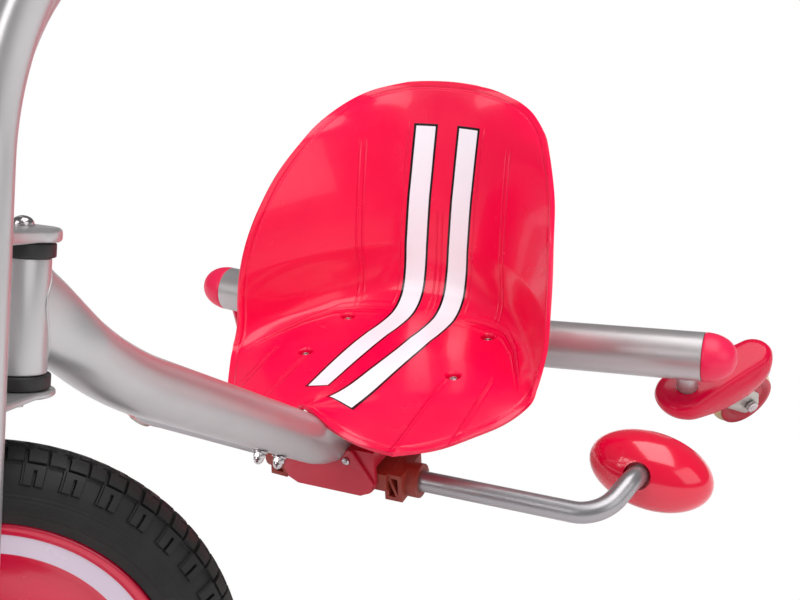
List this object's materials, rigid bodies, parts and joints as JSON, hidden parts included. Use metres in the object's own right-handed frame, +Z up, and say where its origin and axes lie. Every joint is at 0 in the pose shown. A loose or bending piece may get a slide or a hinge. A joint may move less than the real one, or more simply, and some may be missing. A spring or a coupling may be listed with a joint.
{
  "type": "drift trike",
  "caption": "Low ride-on drift trike with a pedalled front wheel, a bucket seat, rear caster wheels and hand-pressed spark levers.",
  "frame": {"origin": "middle of the overall box in X and Y, on the ground", "axes": "+X towards the front wheel, +Y to the rider's left, +Z up"},
  "size_m": [1.0116, 0.6774, 0.6694],
  "materials": {
    "silver": "satin silver paint",
    "crimson": "glossy moulded",
    "casing": "semi-gloss moulded",
    "knuckle": "dull moulded",
    "black": "fine grain",
    "grip": "soft",
    "tyre": "block tread",
    "steel": "bright plated",
    "zinc": "dull plated",
    "urethane": "cast urethane"
  },
  "bodies": {
    "frame": {"head_tube": "silver", "main_tube": "silver", "cross_tube": "silver", "seat_plate": "silver", "seat_shell": "crimson", "seat_bolt_rear_left": "steel", "seat_bolt_rear_right": "steel", "seat_bolt_front_left": "steel", "seat_bolt_front_right": "steel", "lever_housing": "casing", "housing_cover": "casing", "housing_screw_left": "steel", "housing_screw_right": "steel", "hinge_pin_left": "steel", "hinge_pin_right": "steel", "lever_spring_left": "steel", "lever_spring_right": "steel", "upper_bearing_cup": "black", "lower_bearing_cup": "black", "tube_nut_rear": "steel", "tube_nut_front": "steel", "end_cap_left": "crimson", "end_cap_right": "crimson", "kingpin_left": "silver", "kingpin_right": "silver"},
    "fork": {"upper_clamp_plate": "silver", "lower_clamp_plate": "silver", "steering_bolt": "steel", "steering_nut": "steel", "fork_bar_left": "silver", "fork_bar_right": "silver", "handlebar_crossbar": "silver", "hand_grip_left": "grip", "hand_grip_right": "grip", "axle_bearing_left": "black", "axle_bearing_right": "black"},
    "front_wheel": {"front_rim": "crimson", "front_tyre": "tyre", "crank": "steel"},
    "pedal_left": {"pedal_left": "black"},
    "pedal_right": {"pedal_right": "black"},
    "lever_left": {"lever_knuckle_left": "knuckle", "lever_rod_left": "silver", "lever_knob_left": "crimson", "spark_pad_left": "zinc"},
    "lever_right": {"lever_knuckle_right": "knuckle", "lever_rod_right": "silver", "lever_knob_right": "crimson", "spark_pad_right": "zinc"},
    "caster_left": {"caster_bracket_left": "zinc", "caster_fender_left": "crimson", "caster_axle_left": "steel"},
    "caster_right": {"caster_bracket_right": "zinc", "caster_fender_right": "crimson", "caster_axle_right": "steel"},
    "caster_wheel_left": {"caster_core_left": "casing", "caster_tread_left": "urethane"},
    "caster_wheel_right": {"caster_core_right": "casing", "caster_tread_right": "urethane"}
  },
  "joints": [
    {"name": "steer", "type": "hinge", "parent": "frame", "child": "fork", "pos_m": [0.23075, 0, 0.31859], "axis": [-0.319, 0, 0.9478], "range_deg": [-14, 106]},
    {"name": "front_wheel_spin", "type": "hinge", "parent": "fork", "child": "front_wheel", "pos_m": [0.29805, -0.01187, 0.15454], "axis": [0.6818, 0.6947, 0.2294], "continuous": true},
    {"name": "pedal_left_spin", "type": "hinge", "parent": "front_wheel", "child": "pedal_left", "pos_m": [0.45797, 0.01206, 0.20836], "axis": [0.6818, 0.6947, 0.2294], "continuous": true},
    {"name": "pedal_right_spin", "type": "hinge", "parent": "front_wheel", "child": "pedal_right", "pos_m": [0.13813, -0.0358, 0.10072], "axis": [0.6818, 0.6947, 0.2294], "continuous": true},
    {"name": "lever_left_press", "type": "hinge", "parent": "frame", "child": "lever_left", "pos_m": [-0.1369, 0.036, 0.07859], "axis": [-1, 0, 0], "range_deg": [0, 8.5], "stiffness_Nm_per_rad": 20, "springref_deg": -8.59},
    {"name": "lever_right_press", "type": "hinge", "parent": "frame", "child": "lever_right", "pos_m": [-0.1369, -0.036, 0.07859], "axis": [1, 0, 0], "range_deg": [0, 4.3], "stiffness_Nm_per_rad": 20, "springref_deg": -8.59},
    {"name": "caster_left_swivel", "type": "hinge", "parent": "frame", "child": "caster_left", "pos_m": [-0.40294, 0.26204, 0.07034], "axis": [0.4384, 0, 0.8988], "continuous": true},
    {"name": "caster_right_swivel", "type": "hinge", "parent": "frame", "child": "caster_right", "pos_m": [-0.40294, -0.26204, 0.07034], "axis": [0.4384, 0, 0.8988], "continuous": true},
    {"name": "caster_left_roll", "type": "hinge", "parent": "caster_left", "child": "caster_wheel_left", "pos_m": [-0.47364, 0.30755, 0.03442], "axis": [0.6198, 0.7242, -0.3023], "continuous": true},
    {"name": "caster_right_roll", "type": "hinge", "parent": "caster_right", "child": "caster_wheel_right", "pos_m": [-0.47364, -0.30755, 0.03442], "axis": [-0.6198, 0.7242, 0.3023], "continuous": true}
  ]
}
